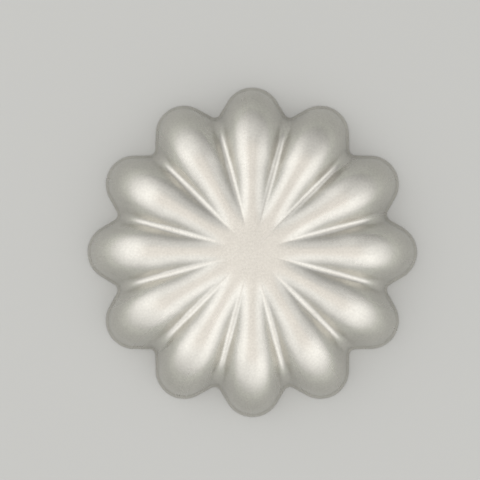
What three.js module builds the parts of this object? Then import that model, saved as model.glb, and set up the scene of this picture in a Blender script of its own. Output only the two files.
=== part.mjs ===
// A flower-shaped fluted cake mould, pressed from one sheet and stood upside down on its hemmed rim.
// Millimetres, +Z up. The origin is the middle of the plane that the rim stands on.
// A petal points along +X.
import * as THREE from 'three';

// The whole mould
const petalCount = 12;
const tipDiameter = 260; // over the rim, from a petal's tip to the opposite one
const mouldHeight = 45; // from the standing plane to the flat base
const sheetThickness = 0.4;

// The rim seen from above: round lobes, straight flanks and hollow notches
const lobeRadius = 22.5;
const lobeTurn = 59; // degrees that a lobe's arc turns on each side of the tip
const notchRadius = 5;

// The side wall, a part of an ellipse in every upright section through the middle
const shoulderShare = 0.38; // of the way out from the middle to the foot, taken up by this curve
const wallTurn = 88; // degrees of the ellipse's quarter from the crown to the foot

// The creases between petals, with distances from the middle of the mould
const centreRadius = 18; // the flat centre, where the creases begin
const creaseMiddle = 77; // where a crease is deepest
const creaseEnd = 109; // where it has risen to the depth that it keeps down the wall
const creaseDepth = 7.8; // at the deepest place
const creaseLeft = 0.26; // of the depth, kept beyond the end
const creaseRadius = 4.5; // the hollow at the bottom of a crease
const crownTurn = 1.1; // degrees on each side of a petal's middle line that stay level
const flankTilt = 40; // degrees, the steepest that a petal's side gets beside a crease

// The hem: the rim turned outwards round a wire and laid back against the wall
const hemDiameter = 2.4; // over the roll
const hemTurn = 205; // degrees that the sheet is rolled through
const hemStrip = 3.5; // the straight strip beyond the roll
const wireClearance = 0.3;

// Facets
const lobeSteps = 3;
const flankSteps = 1;
const notchSteps = 2;
const crownSteps = 5;
const shoulderSteps = 7;
const rollFacet = 45; // degrees
const wireSides = 6;

const toRadians = THREE.MathUtils.degToRad;
const { lerp, smoothstep } = THREE.MathUtils;
const pitch = 2 * Math.PI / petalCount;
const hemRadius = hemDiameter / 2;
const bendRadius = hemRadius - sheetThickness; // inside the roll
const wireRadius = bendRadius - wireClearance;

// A direction in plan, by its angle from the middle line of a petal.
function direction(angle) {
  return new THREE.Vector2(Math.cos(angle), Math.sin(angle));
}

// Half of a petal's rim, from the tip to the notch, inset from the outermost edge.
// Each station holds a point in plan and the outward normal there.
function halfPetal(inset) {
  const flank = toRadians(lobeTurn);
  const lobeReach = tipDiameter / 2 - lobeRadius;
  const flankReach = lobeReach * Math.cos(flank) + lobeRadius + notchRadius;
  const lobeCentre = direction(0).multiplyScalar(lobeReach);
  const notchCentre = direction(pitch / 2).multiplyScalar(flankReach / Math.cos(flank - pitch / 2));
  const onLobe = (angle) => direction(angle).multiplyScalar(lobeRadius - inset).add(lobeCentre);
  const onNotch = (angle) => direction(angle).multiplyScalar(-notchRadius - inset).add(notchCentre);

  const stations = [];
  for (let i = 0; i <= lobeSteps; i++) {
    const angle = flank * i / lobeSteps;
    stations.push({ point: onLobe(angle), normal: direction(angle) });
  }
  for (let i = 1; i < flankSteps; i++) {
    const point = onLobe(flank).lerp(onNotch(flank), i / flankSteps);
    stations.push({ point, normal: direction(flank) });
  }
  for (let i = 0; i <= notchSteps; i++) {
    const angle = lerp(flank, pitch / 2, i / notchSteps);
    stations.push({ point: onNotch(angle), normal: direction(angle) });
  }
  return stations;
}

// The whole rim, anticlockwise. Every petal is the half petal and its mirror image, turned to its place.
function wholeRim(inset) {
  const half = halfPetal(inset);
  const flip = (v) => new THREE.Vector2(v.x, -v.y);
  const mirrored = (s) => ({ point: flip(s.point), normal: flip(s.normal) });
  const mirror = half.slice(1).reverse().map(mirrored);
  const petal = [...mirror, ...half.slice(0, -1)];
  const middle = new THREE.Vector2();
  const rim = [];
  for (let k = 0; k < petalCount; k++) {
    for (const s of petal) {
      const point = s.point.clone().rotateAround(middle, k * pitch);
      const normal = s.normal.clone().rotateAround(middle, k * pitch);
      rim.push({ point, normal });
    }
  }
  return rim;
}

// The angle of a direction from the middle line of the nearest petal.
function fromCrown(angle) {
  return Math.abs(angle - pitch * Math.round(angle / pitch));
}

// How far the bottom of a crease lies below the crowns.
function creaseDip(radius) {
  const begun = smoothstep(radius, centreRadius, creaseMiddle);
  const ended = smoothstep(radius, creaseMiddle, creaseEnd);
  return creaseDepth * begun * lerp(1, creaseLeft, ended);
}

// How far the petals lie below the flat base at a radius and an angle.
// Across a petal the section is a level crown, a round edge, a straight flank and the hollow of the crease.
function petalDip(radius, angle) {
  const dip = creaseDip(radius);
  if (dip === 0) return 0;
  const across = radius * fromCrown(angle);
  const crownEdge = radius * toRadians(crownTurn);
  const hollowMiddle = radius * pitch / 2;
  const run = hollowMiddle - crownEdge;
  const tilt = Math.min(2 * Math.atan(dip / run), toRadians(flankTilt));
  const bothRadii = (run * Math.sin(tilt) - dip * Math.cos(tilt)) / (1 - Math.cos(tilt));
  const hollow = Math.min(creaseRadius, bothRadii / 2);
  const edge = bothRadii - hollow;
  const flankStart = crownEdge + edge * Math.sin(tilt);
  const flankEnd = hollowMiddle - hollow * Math.sin(tilt);
  if (across <= crownEdge) return 0;
  if (across <= flankStart) return edge - Math.sqrt(edge ** 2 - (across - crownEdge) ** 2);
  if (across <= flankEnd) return edge * (1 - Math.cos(tilt)) + (across - flankStart) * Math.tan(tilt);
  return dip - hollow + Math.sqrt(hollow ** 2 - (hollowMiddle - across) ** 2);
}

// The outer skin, as rings of points from the flat centre out and down to the foot of the wall.
function outerRings(rim) {
  const turn = toRadians(wallTurn);
  const crownShare = 1 - shoulderShare;
  const rows = [];
  const ring = (radiusInside, drop) => rows.push(rim.map(({ point }) => {
    const angle = point.angle();
    const radius = radiusInside(point.length());
    const height = lerp(mouldHeight - petalDip(radius, angle), hemRadius, drop);
    return new THREE.Vector3(radius * Math.cos(angle), radius * Math.sin(angle), height);
  }));
  for (let i = 0; i <= crownSteps; i++) {
    const share = i / crownSteps;
    ring((foot) => lerp(centreRadius, foot * crownShare, share), 0);
  }
  for (let i = 1; i <= shoulderSteps; i++) {
    const angle = turn * i / shoulderSteps;
    const out = Math.sin(angle) / Math.sin(turn);
    const drop = (1 - Math.cos(angle)) / (1 - Math.cos(turn));
    ring((foot) => foot * lerp(crownShare, 1, out), drop);
  }
  return rows;
}

// A ring that follows the hem at one angle and one distance from the middle of the roll.
// Beyond the roll it runs on straight, by the given length.
function hemRing(edge, angle, radius, beyond = 0) {
  const out = radius * Math.cos(angle) - beyond * Math.sin(angle) - hemRadius;
  const height = hemRadius + radius * Math.sin(angle) + beyond * Math.cos(angle);
  return edge.map(({ point, normal }) => {
    const place = point.clone().addScaledVector(normal, out);
    return new THREE.Vector3(place.x, place.y, height);
  });
}

// A closed surface through rings of equal length, in which each ring joins the next one.
// The last ring either joins the first one or, like the first, is closed by a point in its middle.
function loft(rings, endless) {
  const count = rings[0].length;
  const points = rings.flat();
  const faces = [];
  const bands = endless ? rings.length : rings.length - 1;
  for (let i = 0; i < bands; i++) {
    const near = i * count;
    const far = (i + 1) % rings.length * count;
    for (let j = 0; j < count; j++) {
      const next = (j + 1) % count;
      faces.push(near + j, far + j, far + next, near + j, far + next, near + next);
    }
  }
  if (!endless) {
    const last = (rings.length - 1) * count;
    const top = points.push(new THREE.Vector3(0, 0, rings[0][0].z)) - 1;
    const bottom = points.push(new THREE.Vector3(0, 0, rings.at(-1)[0].z)) - 1;
    for (let j = 0; j < count; j++) {
      const next = (j + 1) % count;
      faces.push(top, j, next, bottom, last + next, last + j);
    }
  }
  const geometry = new THREE.BufferGeometry().setFromPoints(points);
  geometry.setIndex(faces);
  geometry.computeVertexNormals();
  return geometry;
}

// The inner skin: the outer one pushed in by the sheet's thickness along its normals.
function innerRings(rings) {
  const skin = loft(rings, false);
  const place = skin.getAttribute('position');
  const normal = skin.getAttribute('normal');
  const count = rings[0].length;
  const vectorAt = (attribute, index) => new THREE.Vector3().fromBufferAttribute(attribute, index);
  return rings.map((row, i) => row.map((_, j) => {
    const index = i * count + j;
    return vectorAt(place, index).addScaledVector(vectorAt(normal, index), -sheetThickness);
  }));
}

// The pressed sheet: down the outer skin, round inside the hem, back round outside it and up the inner skin.
function shellGeometry() {
  const edge = wholeRim(0);
  const outer = outerRings(wholeRim(hemDiameter - sheetThickness));
  const inner = innerRings(outer).slice(0, -1);
  const turns = [];
  for (let turned = 0; turned < hemTurn; turned += rollFacet) turns.push(turned);
  turns.push(hemTurn);
  const rollAt = (radius) => (turned) => hemRing(edge, Math.PI + toRadians(turned), radius);
  const stripEnd = (radius) => hemRing(edge, Math.PI + toRadians(hemTurn), radius, hemStrip);
  const inside = [...turns.slice(1).map(rollAt(bendRadius)), stripEnd(bendRadius)];
  const outside = [...turns.map(rollAt(hemRadius)), stripEnd(hemRadius)].reverse();
  return loft([...outer, ...inside, ...outside, ...inner.reverse()], false);
}

// The wire in the middle of the roll, an endless ring.
function wireGeometry() {
  const edge = wholeRim(0);
  const rings = [];
  for (let i = 0; i < wireSides; i++) {
    rings.push(hemRing(edge, -2 * Math.PI * i / wireSides, wireRadius));
  }
  return loft(rings, true);
}

const coatedSteel = new THREE.MeshStandardMaterial({ color: 0xddd6cc, roughness: 0.4, metalness: 0.9 });
const bareSteel = new THREE.MeshStandardMaterial({ color: 0xb9babc, roughness: 0.35, metalness: 1 });

const mould = new THREE.Group();
mould.name = 'fluted_cake_mould';

const shell = new THREE.Mesh(shellGeometry(), coatedSteel);
shell.name = 'pan_shell';
mould.add(shell);

const wire = new THREE.Mesh(wireGeometry(), bareSteel);
wire.name = 'rim_wire';
mould.add(wire);

export default mould;
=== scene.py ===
# %% [markdown]
# A flower-shaped cake mould, upside down
#
# The real mould is one thin sheet of steel that a press draws into twelve petals round a flat
# centre. It stands on its rim, so the outside is up. Every petal is the same and is symmetric about
# its middle line, so only half a petal is modelled by hand. It is mirrored, copied round the
# middle, and given its thickness at the very end.

# %% Load the frame
import math

import bmesh
import bpy
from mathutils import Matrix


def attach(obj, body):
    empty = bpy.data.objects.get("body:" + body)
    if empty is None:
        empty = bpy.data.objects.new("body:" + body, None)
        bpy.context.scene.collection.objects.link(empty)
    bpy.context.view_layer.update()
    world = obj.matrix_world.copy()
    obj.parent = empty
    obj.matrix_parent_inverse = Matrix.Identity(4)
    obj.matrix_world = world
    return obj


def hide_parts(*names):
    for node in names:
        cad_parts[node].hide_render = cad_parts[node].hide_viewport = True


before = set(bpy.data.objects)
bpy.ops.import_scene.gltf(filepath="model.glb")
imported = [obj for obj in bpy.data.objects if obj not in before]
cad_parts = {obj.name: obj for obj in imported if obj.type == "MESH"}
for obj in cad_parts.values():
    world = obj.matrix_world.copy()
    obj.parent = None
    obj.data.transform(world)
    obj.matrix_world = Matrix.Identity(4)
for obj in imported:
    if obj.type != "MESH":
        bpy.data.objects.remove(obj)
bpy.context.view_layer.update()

MM = 0.001
print("CAD nodes:", sorted(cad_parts))

# %% [markdown]
# The foot of the wall, seen from above
#
# A petal ends in a round lobe, then runs straight into the small hollow of the notch between two
# petals. Such an outline could be drawn as a curve, but it is made of true arcs, so it is cut from
# two circles: bisect keeps the arc between two angles, and one edge that joins their ends is the
# straight flank. The wall stands a little inside the outermost edge, because the hem is rolled
# outwards from it.

# %% Sizes of the outline
PETALS = 12
HALF_PITCH = math.pi / PETALS
TIP_RADIUS = 130 * MM
LOBE_RADIUS = 22.5 * MM
LOBE_TURN = math.radians(59)
NOTCH_RADIUS = 5 * MM
SHEET = 0.4 * MM
HEM_RADIUS = 1.2 * MM

foot_inset = 2 * HEM_RADIUS - SHEET
lobe_reach = TIP_RADIUS - LOBE_RADIUS
flank_reach = lobe_reach * math.cos(LOBE_TURN) + LOBE_RADIUS + NOTCH_RADIUS
notch_reach = flank_reach / math.cos(LOBE_TURN - HALF_PITCH)
lobe_centre = (lobe_reach, 0, HEM_RADIUS)
notch_centre = (notch_reach * math.cos(HALF_PITCH), notch_reach * math.sin(HALF_PITCH), HEM_RADIUS)
print("notch centre in mm:", [round(value / MM, 2) for value in notch_centre])


# %% Cut two arcs from circles
def cut_arc(centre, radius, start, end, vertices):
    """A circle at its size and place, of which only the arc between two angles is kept."""
    bpy.ops.object.select_all(action="DESELECT")
    bpy.ops.mesh.primitive_circle_add(vertices=vertices, radius=radius, location=centre)
    bpy.ops.object.transform_apply(location=True, rotation=False, scale=False)
    bpy.ops.object.mode_set(mode="EDIT")
    for angle, cut_before in ((start, True), (end, False)):
        bpy.ops.mesh.select_all(action="SELECT")
        onwards = (-math.sin(angle), math.cos(angle), 0)
        bpy.ops.mesh.bisect(
            plane_co=centre, plane_no=onwards, clear_inner=cut_before, clear_outer=not cut_before
        )
    bpy.ops.object.mode_set(mode="OBJECT")
    return bpy.context.object


LOBE_CIRCLE = 72
NOTCH_CIRCLE = 48
lobe_arc = cut_arc(lobe_centre, LOBE_RADIUS - foot_inset, 0, LOBE_TURN, LOBE_CIRCLE)
notch_start, notch_end = math.pi + HALF_PITCH, math.pi + LOBE_TURN
notch_arc = cut_arc(notch_centre, NOTCH_RADIUS + foot_inset, notch_start, notch_end, NOTCH_CIRCLE)
print("arc vertices:", len(lobe_arc.data.vertices), len(notch_arc.data.vertices))

# %% Join the arcs by the straight flank
FLANK_CUTS = 4
SAME_PLACE = 0.01 * MM


def polar(point):
    """The angle of a point round the middle of the mould."""
    return math.atan2(point[1], point[0])


sheet = lobe_arc
sheet.name = "mould_sheet"
last_on_lobe = max(sheet.data.vertices, key=lambda vertex: polar(vertex.co))
first_on_notch = min(notch_arc.data.vertices, key=lambda vertex: polar(vertex.co))
flank_ends = (last_on_lobe.co.copy(), first_on_notch.co.copy())
bpy.ops.object.select_all(action="DESELECT")
notch_arc.select_set(True)
sheet.select_set(True)
bpy.context.view_layer.objects.active = sheet
bpy.ops.object.join()
bpy.ops.object.mode_set(mode="EDIT")
bpy.ops.mesh.select_all(action="DESELECT")
outline = bmesh.from_edit_mesh(sheet.data)
for vertex in outline.verts:
    vertex.select = any((vertex.co - end).length < SAME_PLACE for end in flank_ends)
outline.select_flush_mode()
bpy.ops.mesh.edge_face_add()
bpy.ops.mesh.subdivide(number_cuts=FLANK_CUTS)
bpy.ops.object.mode_set(mode="OBJECT")
print("half a petal's foot:", len(sheet.data.vertices), "vertices,", len(sheet.data.edges), "edges")

# %% [markdown]
# The wall, the crown and the flat centre
#
# In every upright section the wall is part of an ellipse: it rises steeply from the foot and leans
# over into the level crown. A curve could be spun for a round pan, but here every row has the
# outline of a flower. So one move is made many times, as by hand: extrude the edge, lift it, and
# scale it towards the middle. Each new row is a smaller copy of the foot, and the last one shrinks
# to a point.

# %% Extrude the rows
HEIGHT = 45 * MM
SHOULDER_SHARE = 0.38
WALL_TURN = math.radians(88)
SHOULDER_ROWS = 28
CROWN_ROWS = 20
CENTRE_RADIUS = 18 * MM
CENTRE_ROWS = (0.6, 0.25, 0)  # shares of the flat centre's radius

rows = []
for i in range(1, SHOULDER_ROWS + 1):
    angle = WALL_TURN * (1 - i / SHOULDER_ROWS)
    out = math.sin(angle) / math.sin(WALL_TURN)
    drop = (1 - math.cos(angle)) / (1 - math.cos(WALL_TURN))
    rows.append((1 - SHOULDER_SHARE * (1 - out), HEIGHT + (HEM_RADIUS - HEIGHT) * drop))
crown_edge = 1 - SHOULDER_SHARE
centre_edge = CENTRE_RADIUS / (TIP_RADIUS - foot_inset)
for i in range(1, CROWN_ROWS + 1):
    rows.append((crown_edge + (centre_edge - crown_edge) * i / CROWN_ROWS, HEIGHT))
rows += [(centre_edge * share, HEIGHT) for share in CENTRE_ROWS]

bpy.ops.object.mode_set(mode="EDIT")
bpy.ops.mesh.select_all(action="SELECT")
size, height = 1, HEM_RADIUS
for new_size, new_height in rows:
    bpy.ops.mesh.extrude_edges_move(TRANSFORM_OT_translate={"value": (0, 0, new_height - height)})
    step = new_size / size
    bpy.ops.transform.resize(value=(step, step, 1), center_override=(0, 0, 0))
    size, height = new_size, new_height
bpy.ops.object.mode_set(mode="OBJECT")
print("skin of half a petal:", len(sheet.data.polygons), "faces in", len(rows), "rows")

# %% [markdown]
# The creases between the petals
#
# In the press the sheet is drawn down between the petals, so a crease starts at the flat centre,
# gets deeper and runs out down the wall to the notch. It could be pulled down with proportional
# editing, vertex by vertex. Here the pull is painted as a vertex group, and a Displace modifier
# lowers each vertex by its weight. Across a petal the section is a round crown, a straight flank
# and the small hollow of the crease.

# %% Weigh every vertex by its depth in the crease
CREASE_DEPTH = 7.8 * MM
CREASE_MIDDLE = 77 * MM
CREASE_END = 109 * MM
CREASE_LEFT = 0.26
CREASE_RADIUS = 4.5 * MM
CROWN_TURN = math.radians(1.1)
FLANK_TILT = math.radians(40)
SHALLOW = 1e-6 * MM


def smooth_share(value, start, end):
    """0 before start, 1 after end and an eased rise between them."""
    share = min(max((value - start) / (end - start), 0), 1)
    return share * share * (3 - 2 * share)


def crease_dip(radius):
    """How far the bottom of a crease lies below the crowns."""
    begun = smooth_share(radius, CENTRE_RADIUS, CREASE_MIDDLE)
    ended = smooth_share(radius, CREASE_MIDDLE, CREASE_END)
    return CREASE_DEPTH * begun * (1 - (1 - CREASE_LEFT) * ended)


def petal_dip(radius, angle):
    """How far the skin lies below the crowns, at an angle from the middle line of a petal."""
    dip = crease_dip(radius)
    if dip < SHALLOW:
        return 0
    across = radius * angle
    crown = radius * CROWN_TURN
    middle = radius * HALF_PITCH
    run = middle - crown
    tilt = min(2 * math.atan(dip / run), FLANK_TILT)
    both = (run * math.sin(tilt) - dip * math.cos(tilt)) / (1 - math.cos(tilt))
    hollow = min(CREASE_RADIUS, both / 2)
    edge = both - hollow
    flank_start = crown + edge * math.sin(tilt)
    flank_end = middle - hollow * math.sin(tilt)
    if across <= crown:
        return 0
    if across <= flank_start:
        return edge - math.sqrt(edge**2 - (across - crown) ** 2)
    if across <= flank_end:
        return edge * (1 - math.cos(tilt)) + (across - flank_start) * math.tan(tilt)
    return dip - hollow + math.sqrt(max(hollow**2 - (middle - across) ** 2, 0))


creases = sheet.vertex_groups.new(name="creases")
for vertex in sheet.data.vertices:
    radius = math.hypot(vertex.co.x, vertex.co.y)
    fallen = (HEIGHT - vertex.co.z) / (HEIGHT - HEM_RADIUS)
    dip = petal_dip(radius, polar(vertex.co)) * (1 - fallen)
    creases.add([vertex.index], dip / CREASE_DEPTH, "REPLACE")
bpy.ops.object.modifier_add(type="DISPLACE")
press = sheet.modifiers[-1]
press.direction = "Z"
press.mid_level = 0
press.strength = -CREASE_DEPTH
press.vertex_group = creases.name
bpy.ops.object.modifier_apply(modifier=press.name)
bottom = min(v.co.z for v in sheet.data.vertices if math.hypot(v.co.x, v.co.y) < CREASE_MIDDLE)
print("lowest place of the crease inside its middle, in mm:", round(bottom / MM, 2))

# %% [markdown]
# The hem
#
# The sheet's raw edge would cut a hand, so it is turned outwards round a wire and laid back against
# the wall. A bent tube along the rim would look much the same, but the real hem is the same sheet,
# so the foot row is extruded round a small circle and then once more along a straight strip. Each
# row moves along the outward direction of its own vertex, so the hem keeps its width round the
# lobes and in the notches. The strip's end lies on the wall. A vertex group remembers it, so that
# the pressed edge can taper to almost nothing.

# %% Roll the foot row outwards
HEM_TURN = math.radians(205)
HEM_STRIP = 3.5 * MM
ROLL_ROWS = 14
bend_radius = HEM_RADIUS - SHEET


def outward(point):
    """The direction, in plan, that faces away from the mould at a place on its foot."""
    on_lobe = math.atan2(point[1], point[0] - lobe_centre[0])
    if on_lobe < LOBE_TURN:
        return on_lobe
    return min(math.atan2(notch_centre[1] - point[1], notch_centre[0] - point[0]), LOBE_TURN)


hem = []
for i in range(1, ROLL_ROWS + 1):
    angle = math.pi + HEM_TURN * i / ROLL_ROWS
    hem.append((bend_radius * (math.cos(angle) + 1), HEM_RADIUS + bend_radius * math.sin(angle)))
strip_angle = math.pi + HEM_TURN
strip_top = hem[-1][1] + HEM_STRIP * math.cos(strip_angle)

bpy.ops.object.mode_set(mode="EDIT")
bpy.ops.mesh.select_all(action="DESELECT")
skin = bmesh.from_edit_mesh(sheet.data)
for vertex in skin.verts:
    vertex.select = abs(vertex.co.z - HEM_RADIUS) < SAME_PLACE
skin.select_flush_mode()
foot = [v.co.copy() for v in sorted((v for v in skin.verts if v.select), key=lambda v: polar(v.co))]


def add_hem_row(size, out, height):
    """Extrude the selected row to a scaled copy of the foot, moved outwards and set at a height."""
    bpy.ops.mesh.extrude_edges_move(TRANSFORM_OT_translate={"value": (0, 0, 0)})
    skin = bmesh.from_edit_mesh(sheet.data)
    row = sorted((v for v in skin.verts if v.select), key=lambda v: polar(v.co))
    for vertex, start in zip(row, foot):
        facing = outward(start)
        x = size * start.x + out * math.cos(facing)
        y = size * start.y + out * math.sin(facing)
        vertex.co = (x, y, height)
    bmesh.update_edit_mesh(sheet.data)


for out, height in hem:
    add_hem_row(1, out, height)
print("roll rows:", len(hem), "with", len(foot), "vertices each")

# %% Lay the strip on the wall
STRIP_GAP = 0.03 * MM

fallen = (HEIGHT - strip_top) / (HEIGHT - HEM_RADIUS)
turn_there = math.acos(1 - fallen * (1 - math.cos(WALL_TURN)))
wall_size = 1 - SHOULDER_SHARE * (1 - math.sin(turn_there) / math.sin(WALL_TURN))
add_hem_row(wall_size, STRIP_GAP, strip_top)
bpy.ops.object.mode_set(mode="OBJECT")
full_sheet = sheet.vertex_groups.new(name="full_sheet")
edge_row = [v.index for v in sheet.data.vertices if v.select]
full_sheet.add([v.index for v in sheet.data.vertices if not v.select], 1, "REPLACE")
full_sheet.add(edge_row, 0, "REPLACE")
print("strip ends", round(strip_top / MM, 2), "mm up, on", len(edge_row), "vertices")

# %% [markdown]
# Twelve petals and the thickness of the sheet
#
# A Mirror modifier makes the half petal whole, and Spin with its duplicates on sets eleven copies
# round the middle. An Array modifier could do that too, but it would need a helper object to turn
# round. The seams are merged before the normals are recalculated, and only then does Solidify grow
# the sheet inwards, because on a closed shell the recalculation would turn the inner wall round.

# %% Mirror and copy round
MERGE = 0.004 * MM

bpy.ops.object.modifier_add(type="MIRROR")
mirror = sheet.modifiers[-1]
mirror.use_axis = (False, True, False)
mirror.merge_threshold = MERGE
bpy.ops.object.modifier_apply(modifier=mirror.name)
bpy.ops.object.mode_set(mode="EDIT")
bpy.ops.mesh.select_all(action="SELECT")
bpy.ops.mesh.spin(
    steps=PETALS - 1,
    angle=2 * HALF_PITCH * (PETALS - 1),
    dupli=True,
    center=(0, 0, 0),
    axis=(0, 0, 1),
)
bpy.ops.mesh.select_all(action="SELECT")
bpy.ops.mesh.remove_doubles(threshold=MERGE)
bpy.ops.mesh.normals_make_consistent(inside=False)
bpy.ops.object.mode_set(mode="OBJECT")
print("petals done:", len(sheet.data.polygons), "faces")


# %% Turn the open skin outwards
def top_normal():
    """The upward part of the flat top's normal."""
    return max(sheet.data.polygons, key=lambda face: face.center.z).normal.z


# The recalculation can only guess which side of an open skin is outside, so the flat top decides.
print("top normal:", round(top_normal(), 3))
if top_normal() < 0:
    bpy.ops.object.mode_set(mode="EDIT")
    bpy.ops.mesh.select_all(action="SELECT")
    bpy.ops.mesh.flip_normals()
    bpy.ops.object.mode_set(mode="OBJECT")
print("top normal now:", round(top_normal(), 3))

# %% Thicken the sheet
EDGE_SHARE = 0.15  # of the thickness, left at the pressed edge of the strip
SMOOTH_ANGLE = math.radians(40)

bpy.ops.object.modifier_add(type="SOLIDIFY")
thickness = sheet.modifiers[-1]
thickness.thickness = SHEET
thickness.offset = -1
thickness.use_even_offset = True
thickness.use_quality_normals = True
thickness.vertex_group = "full_sheet"
thickness.thickness_vertex_group = EDGE_SHARE
bpy.ops.object.modifier_apply(modifier=thickness.name)
bpy.ops.object.shade_smooth_by_angle(angle=SMOOTH_ANGLE)
triangles = sum(len(face.vertices) - 2 for face in sheet.data.polygons)
print("sheet:", triangles, "triangles")

# %% Ride on the frame
sheet.vertex_groups.clear()
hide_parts("pan_shell")
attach(sheet, "root")
print("piece:", sheet.name)

# %% [markdown]
# Colours and nodes
#
# Colours are written as they would be picked on a screen and turned to linear light by one
# function. One more small function adds a node with its settings and its links, so that a material
# reads from top to bottom.


# %% Helpers for materials
def linear(colour):
    """An sRGB hex colour as linear red, green and blue with full alpha."""
    shares = [int(colour[i : i + 2], 16) / 255 for i in (1, 3, 5)]
    return [c / 12.92 if c <= 0.04045 else ((c + 0.055) / 1.055) ** 2.4 for c in shares] + [1]


def add_node(tree, kind, inputs, **settings):
    """A node with its settings. An input is a value, an output, or a node for its first output."""
    node = tree.nodes.new(kind)
    for name, value in settings.items():
        setattr(node, name, value)
    for name, value in inputs.items():
        if isinstance(value, bpy.types.Node):
            value = value.outputs[0]
        if isinstance(value, bpy.types.NodeSocket):
            tree.links.new(value, node.inputs[name])
        else:
            node.inputs[name].default_value = value
    return node


def new_material(name):
    """A material with its node tree and its main shader."""
    material = bpy.data.materials.new(name)
    material.use_nodes = True
    return material, material.node_tree, material.node_tree.nodes["Principled BSDF"]


print("mid grey in linear light:", [round(c, 3) for c in linear("#808080")])

# %% [markdown]
# Satin champagne-silver non-stick coating on drawn steel
#
# The coating is sprayed: metal flakes in a clear resin, baked on. It shines like a satin metal with
# a fine speckle, and its thickness is never quite even. Through it the drawn sheet shows: faint
# streaks that run out from the middle, as the press pulled the metal, and faint lines at one
# height, where the sheet slid over the tool's edge. Use has left a few hair scratches. A painted
# picture could hold all of this, but noise textures at sizes in millimetres fit every petal without
# a seam to hide. Real flakes are finer than a pixel, so the speckle is drawn coarse enough to show.

# %% Speckle, streaks and tool marks
GRAIN = 1.6 * MM
MOTTLE = 22 * MM
STREAK_LENGTH = 60 * MM
STREAKS_ROUND = 60
TOOL_MARKS = 2.4 * MM

coating, tree, shader = new_material("satin_champagne_nonstick_coating")
place = add_node(tree, "ShaderNodeTexCoord", {}).outputs["Object"]
parts = add_node(tree, "ShaderNodeSeparateXYZ", {"Vector": place}).outputs
grain = add_node(tree, "ShaderNodeTexNoise", {"Vector": place, "Scale": 1 / GRAIN, "Detail": 3})
mottle = add_node(tree, "ShaderNodeTexNoise", {"Vector": place, "Scale": 1 / MOTTLE, "Detail": 2})
turn = add_node(tree, "ShaderNodeMath", {0: parts["Y"], 1: parts["X"]}, operation="ARCTAN2")
around = add_node(
    tree, "ShaderNodeMath", {0: turn, 1: STREAKS_ROUND / (2 * math.pi)}, operation="MULTIPLY"
)
reach = add_node(tree, "ShaderNodeVectorMath", {0: place}, operation="LENGTH").outputs["Value"]
along = add_node(tree, "ShaderNodeMath", {0: reach, 1: 1 / STREAK_LENGTH}, operation="MULTIPLY")
streak_place = add_node(tree, "ShaderNodeCombineXYZ", {"X": around, "Y": along})
streaks = add_node(tree, "ShaderNodeTexNoise", {"Vector": streak_place, "Scale": 1, "Detail": 3})
mark_place = add_node(tree, "ShaderNodeCombineXYZ", {"Z": parts["Z"]})
tool_marks = add_node(
    tree, "ShaderNodeTexNoise", {"Vector": mark_place, "Scale": 1 / TOOL_MARKS, "Detail": 2}
)
print("patterns:", len(tree.nodes), "nodes")

# %% Hair scratches
SCRATCH_LENGTH = 14 * MM
SCRATCH_SPACING = 0.5 * MM
SCRATCH_SLANT = math.radians(35)
SCRATCH_START = 0.72
SCRATCH_FULL = 0.78

slant = add_node(tree, "ShaderNodeMapping", {"Vector": place, "Rotation": (0, 0, SCRATCH_SLANT)})
per_metre = (1 / SCRATCH_LENGTH, 1 / SCRATCH_SPACING, 1 / SCRATCH_LENGTH)
scratch_place = add_node(
    tree, "ShaderNodeVectorMath", {0: slant, 1: per_metre}, operation="MULTIPLY"
)
long_noise = add_node(
    tree, "ShaderNodeTexNoise", {"Vector": scratch_place, "Scale": 1, "Detail": 1}
)
scratches = add_node(
    tree,
    "ShaderNodeMapRange",
    {"Value": long_noise, "From Min": SCRATCH_START, "From Max": SCRATCH_FULL},
)
print("with scratches:", len(tree.nodes), "nodes")

# %% Colour of the coating
DARK_FLAKE = "#BBB9B3"
LIGHT_FLAKE = "#DAD8D1"
MOTTLE_SHARE = 0.25

drift = add_node(
    tree, "ShaderNodeMapRange", {"Value": mottle, "To Min": -MOTTLE_SHARE, "To Max": MOTTLE_SHARE}
)
uneven = add_node(tree, "ShaderNodeMath", {0: grain, 1: drift}, operation="ADD")
tint = add_node(
    tree,
    "ShaderNodeMix",
    {"Factor": uneven, 6: linear(DARK_FLAKE), 7: linear(LIGHT_FLAKE)},
    data_type="RGBA",
)
tree.links.new(tint.outputs[2], shader.inputs["Base Color"])
shader.inputs["Metallic"].default_value = 1.0
print("flakes from", DARK_FLAKE, "to", LIGHT_FLAKE)

# %% Gloss and relief of the coating
SMOOTHEST = 0.25
ROUGHEST = 0.31
SCRATCH_ROUGHNESS = 0.12
SPECKLE = {"Strength": 0.15, "Distance": 0.05 * MM}
DRAWN_LINES = {"Strength": 0.5, "Distance": 0.15 * MM}

satin = add_node(
    tree, "ShaderNodeMapRange", {"Value": streaks, "To Min": SMOOTHEST, "To Max": ROUGHEST}
)
dulled = add_node(tree, "ShaderNodeMath", {0: scratches, 1: SCRATCH_ROUGHNESS}, operation="MULTIPLY")
worn = add_node(tree, "ShaderNodeMath", {0: satin, 1: dulled}, operation="ADD")
tree.links.new(worn.outputs[0], shader.inputs["Roughness"])
speckle = add_node(tree, "ShaderNodeBump", {"Height": grain, **SPECKLE})
drawn = add_node(tree, "ShaderNodeBump", {"Height": tool_marks, "Normal": speckle, **DRAWN_LINES})
tree.links.new(drawn.outputs[0], shader.inputs["Normal"])
sheet.data.materials.clear()
sheet.data.materials.append(coating)
print("coating:", len(tree.nodes), "nodes")

# %% [markdown]
# Bare drawn steel wire
#
# The wire inside the hem was pulled through a die, which leaves it bare, grey and a little uneven,
# with a soft shine. It is the CAD node itself with a better finish, because the rolled sheet hides
# it and a round wire needs no more shape.

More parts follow.
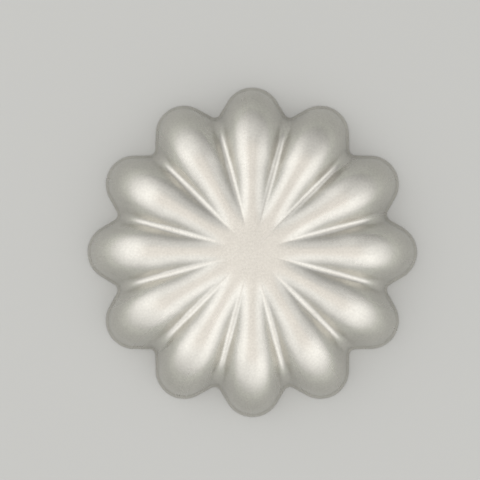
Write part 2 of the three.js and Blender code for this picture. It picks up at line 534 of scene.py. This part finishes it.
# %% Finish of the wire
WIRE_GRAIN = 0.3 * MM
WIRE_DARK = "#A9AAAD"
WIRE_LIGHT = "#C6C7C9"
WIRE_ROUGHNESS = 0.35

wire_steel, tree, shader = new_material("bare_drawn_steel_wire")
place = add_node(tree, "ShaderNodeTexCoord", {}).outputs["Object"]
wire_grain = add_node(
    tree, "ShaderNodeTexNoise", {"Vector": place, "Scale": 1 / WIRE_GRAIN, "Detail": 2}
)
shade = add_node(
    tree,
    "ShaderNodeMix",
    {"Factor": wire_grain, 6: linear(WIRE_DARK), 7: linear(WIRE_LIGHT)},
    data_type="RGBA",
)
tree.links.new(shade.outputs[2], shader.inputs["Base Color"])
shader.inputs["Metallic"].default_value = 1.0
shader.inputs["Roughness"].default_value = WIRE_ROUGHNESS
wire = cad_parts["rim_wire"]
wire.data.materials.clear()
wire.data.materials.append(wire_steel)
print("wire:", wire.name)

# %% [markdown]
# Floor, light and camera
#
# A shiny shape is mostly a picture of its surroundings, so they are kept plain: a pale satin floor
# and a dome of soft light. Large lamps could light it as well, but their edges would show in the
# metal. The dome is dim near the horizon, which keeps the steep walls grey, brightest high up, and
# a little less bright straight above, where the camera hangs. Two opposite sides and the front give
# more light than the back, so that most petals have a bright side and a dark one.

# %% Floor
FLOOR_SIZE = 6
FLOOR_DROP = 0.2 * MM
FLOOR_GREY = "#B8B9B7"
FLOOR_ROUGHNESS = 0.3

bpy.ops.object.select_all(action="DESELECT")
bpy.ops.mesh.primitive_plane_add(size=FLOOR_SIZE, location=(0, 0, -FLOOR_DROP))
floor = bpy.context.object
floor.name = "floor"
bpy.ops.object.transform_apply(location=True, rotation=False, scale=False)
paper, tree, shader = new_material("satin_grey_paper")
shader.inputs["Base Color"].default_value = linear(FLOOR_GREY)
shader.inputs["Roughness"].default_value = FLOOR_ROUGHNESS
floor.data.materials.append(paper)
print("floor:", floor.name)

# %% Dome of soft light by height
OVERHEAD = "#FFF9F4"
SIDE = "#FFFEFD"
LOW = "#FDFFF8"
# Each stop is the height of a direction, from -1 to 1, with its level of light and its colour.
DOME = (
    (-1, 0.6, LOW),
    (0, 0.8, LOW),
    (0.15, 0.7, LOW),
    (0.35, 0.84, SIDE),
    (0.5, 1.03, SIDE),
    (0.65, 1.19, SIDE),
    (0.8, 1.33, SIDE),
    (0.92, 1.35, SIDE),
    (1, 1.23, OVERHEAD),
)
BRIGHT_SIDES = math.radians(154)  # where one of them lies, from +X

world = bpy.data.worlds.new("soft_dome")
bpy.context.scene.world = world
world.use_nodes = True
tree = world.node_tree
look = add_node(tree, "ShaderNodeTexCoord", {}).outputs["Generated"]
turned = add_node(
    tree, "ShaderNodeVectorRotate", {"Vector": look, "Angle": -BRIGHT_SIDES}, rotation_type="Z_AXIS"
)
height = add_node(tree, "ShaderNodeSeparateXYZ", {"Vector": turned}).outputs["Z"]
share = add_node(tree, "ShaderNodeMapRange", {"Value": height, "From Min": -1, "From Max": 1})
ramp = add_node(tree, "ShaderNodeValToRGB", {"Fac": share})
stops = ramp.color_ramp.elements
while len(stops) > 1:
    stops.remove(stops[-1])
for i, (upward, level, tone) in enumerate(DOME):
    position = (upward + 1) / 2
    stop = stops[0] if i == 0 else stops.new(position)
    stop.position = position
    stop.color = [level * channel for channel in linear(tone)[:3]] + [1]
background = tree.nodes["Background"]
tree.links.new(ramp.outputs["Color"], background.inputs["Color"])
print("dome stops:", len(stops))

# %% More light from two sides and the front
SIDES_SHARE = 0.3
FRONT_SHARE = 0.18
SOFT_TOP = 0.1  # eases the extra light out straight above
FADE = {"From Min": 0.1, "From Max": 0.3, "To Min": 0.3}  # and towards the horizon

level_look = add_node(tree, "ShaderNodeVectorMath", {0: turned, 1: (1, 1, 0)}, operation="MULTIPLY")
reach = add_node(tree, "ShaderNodeVectorMath", {0: level_look}, operation="LENGTH").outputs["Value"]
soft_reach = add_node(tree, "ShaderNodeMath", {0: reach, 1: SOFT_TOP}, operation="ADD")
shrink = add_node(tree, "ShaderNodeMath", {0: 1, 1: soft_reach}, operation="DIVIDE")
facing = add_node(tree, "ShaderNodeVectorMath", {0: level_look, "Scale": shrink}, operation="SCALE")
squares = add_node(tree, "ShaderNodeVectorMath", {0: facing, 1: facing}, operation="MULTIPLY")
sides = (SIDES_SHARE, -SIDES_SHARE, 0)
front = (0, FRONT_SHARE, 0)
from_sides = add_node(tree, "ShaderNodeVectorMath", {0: squares, 1: sides}, operation="DOT_PRODUCT")
from_front = add_node(tree, "ShaderNodeVectorMath", {0: facing, 1: front}, operation="DOT_PRODUCT")
more = add_node(
    tree,
    "ShaderNodeMath",
    {0: from_sides.outputs["Value"], 1: from_front.outputs["Value"]},
    operation="ADD",
)
fade = add_node(tree, "ShaderNodeMapRange", {"Value": height, **FADE})
strength = add_node(tree, "ShaderNodeMath", {0: more, 1: fade, 2: 1}, operation="MULTIPLY_ADD")
tree.links.new(strength.outputs[0], background.inputs["Strength"])
print("dome:", len(tree.nodes), "nodes")

# %% Camera
IMAGE = 480
SENSOR = 36
# The radius over the tips and the middle of the rim, in pixels of the picture
TIP_PIXELS = 164.7
MIDDLE_PIXEL = (252.3, 252.35)
CAMERA_PLACE = (6 * MM, -31 * MM, 1500 * MM)

bpy.ops.object.camera_add(location=CAMERA_PLACE, rotation=(0, 0, 0))
camera = bpy.context.object
pixels_per_metre = TIP_PIXELS / TIP_RADIUS
camera.data.sensor_width = SENSOR
camera.data.lens = SENSOR * (CAMERA_PLACE[2] - HEM_RADIUS) * pixels_per_metre / IMAGE
camera.data.shift_x = (IMAGE / 2 - MIDDLE_PIXEL[0] - pixels_per_metre * CAMERA_PLACE[0]) / IMAGE
camera.data.shift_y = (MIDDLE_PIXEL[1] - IMAGE / 2 - pixels_per_metre * CAMERA_PLACE[1]) / IMAGE
bpy.context.scene.camera = camera
bpy.context.scene.view_settings.view_transform = "Standard"
print("lens in mm:", round(camera.data.lens, 1))
